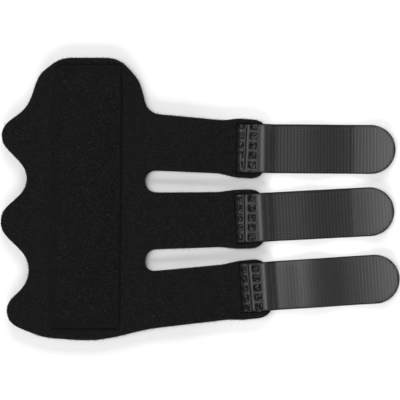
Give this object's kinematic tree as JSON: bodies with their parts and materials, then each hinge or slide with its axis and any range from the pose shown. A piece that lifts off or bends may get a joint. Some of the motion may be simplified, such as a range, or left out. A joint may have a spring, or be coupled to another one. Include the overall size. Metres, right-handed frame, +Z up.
{
  "type": "finger splint",
  "caption": "Soft finger splint laid flat: die-cut foam panel with a crowned stay pocket, a scalloped side and wrap straps ending in hook tabs.",
  "frame": {"origin": "middle of the part's footprint, on the surface that it lies on", "axes": "+X along the straps towards the hook tabs, +Y towards the rounded head, +Z up out of the lining side"},
  "size_m": [0.1628, 0.1152, 0.0046],
  "materials": {
    "lining_cloth": "brushed black loop lining on foam, matt",
    "pocket_cloth": "brushed black loop cloth over the stay, matt",
    "hook_plastic": "dark grey moulded hook tape, satin"
  },
  "bodies": {
    "root": {"body_panel": "lining_cloth", "stay_pocket": "pocket_cloth", "hook_tab_top": "hook_plastic", "hook_tab_middle": "hook_plastic", "hook_tab_low": "hook_plastic"}
  },
  "joints": []
}
